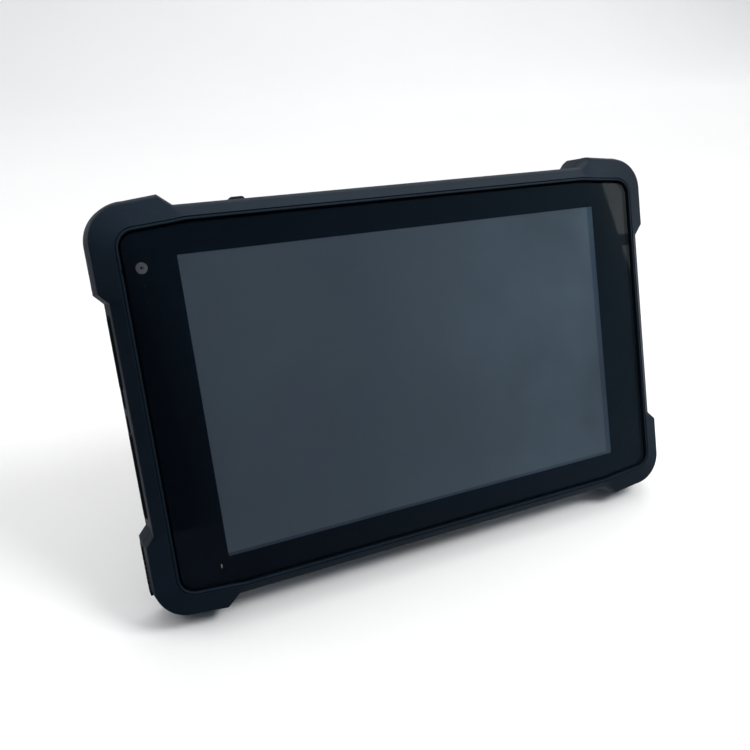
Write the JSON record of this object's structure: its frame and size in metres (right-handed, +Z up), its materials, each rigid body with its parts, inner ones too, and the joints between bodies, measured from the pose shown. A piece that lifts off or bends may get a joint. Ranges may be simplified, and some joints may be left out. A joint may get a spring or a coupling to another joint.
{
  "type": "rugged tablet data collector",
  "caption": "Rugged handheld tablet for field data collection, leaning back on its open rear kickstand, with corner bumpers and covered ports.",
  "frame": {"origin": "middle of the overall box at floor level, the tablet standing on its lower bumpers and its open kickstand", "axes": "+X along the long side to the viewer's right, the screen facing -Y and tilted 18.9 degrees back from upright, +Z up"},
  "size_m": [0.23, 0.0668, 0.147],
  "materials": {
    "casing": "fine-grained moulded",
    "glass": "polished, dark border",
    "display": "satin, switched off",
    "seal": "matte",
    "rubber": "matte",
    "steel": "machined",
    "dark_metal": "dark satin",
    "brass": "turned",
    "board": "solder mask over glass fibre",
    "alloy": "stamped",
    "battery": "shrink wrap",
    "lens": "polished",
    "lamp": "ribbed diffuser",
    "camera_ring": "satin",
    "ceramic": "fired ceramic",
    "flex": "polyimide film"
  },
  "bodies": {
    "tablet_body": {"audio_jack": "dark_metal", "battery_cover": "casing", "battery_cover_screw_1": "steel", "battery_cover_screw_2": "steel", "battery_cover_screw_3": "steel", "battery_cover_screw_4": "steel", "battery_cover_seal": "seal", "battery_pack": "battery", "card_slot": "dark_metal", "case_screw_1": "steel", "case_screw_2": "steel", "case_screw_3": "steel", "case_screw_4": "steel", "case_screw_5": "steel", "case_screw_6": "steel", "case_screw_7": "steel", "case_screw_8": "steel", "cover_glass": "glass", "display_flex": "flex", "display_panel": "display", "display_tray": "alloy", "dock_connector": "dark_metal", "flash_lens": "lamp", "front_camera": "camera_ring", "front_frame": "casing", "glass_gasket": "seal", "gnss_antenna": "ceramic", "light_sensor": "dark_metal", "mainboard": "board", "micro_hdmi_port": "steel", "port_board": "board", "power_switch": "dark_metal", "processor_shield": "alloy", "radio_shield": "alloy", "rear_camera": "dark_metal", "rear_camera_ring": "dark_metal", "rear_camera_window": "lens", "rear_shell": "casing", "shell_seal": "seal", "side_key_board": "board", "speaker": "dark_metal", "speaker_grille": "dark_metal", "stand_pin_left": "steel", "stand_pin_right": "steel", "strap_anchor": "rubber", "strap_insert_1": "brass", "strap_insert_2": "brass", "strap_insert_3": "brass", "strap_insert_4": "brass", "usb_c_port_lower": "steel", "usb_c_port_upper": "steel", "vibration_motor": "steel"},
    "kickstand_leg": {"kickstand": "dark_metal", "stand_foot": "rubber"},
    "upper_cover": {"upper_port_cover": "rubber"},
    "lower_cover": {"lower_port_cover": "rubber"},
    "power": {"power_button": "rubber"},
    "volume": {"volume_rocker": "rubber"},
    "function": {"function_key": "rubber"}
  },
  "joints": [
    {"name": "kickstand_swing", "type": "hinge", "parent": "tablet_body", "child": "kickstand_leg", "pos_m": [0, 0.01077, 0.08082], "axis": [1, 0, 0], "range_deg": [-28.51, 0]},
    {"name": "upper_cover_swing", "type": "hinge", "parent": "tablet_body", "child": "upper_cover", "pos_m": [-0.11095, 0.01364, 0.10647], "axis": [0, -0.9461, 0.3239], "range_deg": [-110, 0]},
    {"name": "lower_cover_swing", "type": "hinge", "parent": "tablet_body", "child": "lower_cover", "pos_m": [-0.11095, -0.00926, 0.03959], "axis": [0, -0.9461, 0.3239], "range_deg": [0, 110]},
    {"name": "power_press", "type": "slide", "parent": "tablet_body", "child": "power", "axis": [0, -0.3239, -0.9461], "range_m": [0, 0.0005], "stiffness_N_per_m": 800, "springref_m": -0.001},
    {"name": "volume_rock", "type": "hinge", "parent": "tablet_body", "child": "volume", "pos_m": [0.10605, 0.00575, 0.08465], "axis": [0, -0.9461, 0.3239], "range_deg": [-2.5, 2.5], "stiffness_Nm_per_rad": 0.25},
    {"name": "function_press", "type": "slide", "parent": "tablet_body", "child": "function", "axis": [-1, 0, 0], "range_m": [0, 0.0005], "stiffness_N_per_m": 800, "springref_m": -0.001}
  ]
}
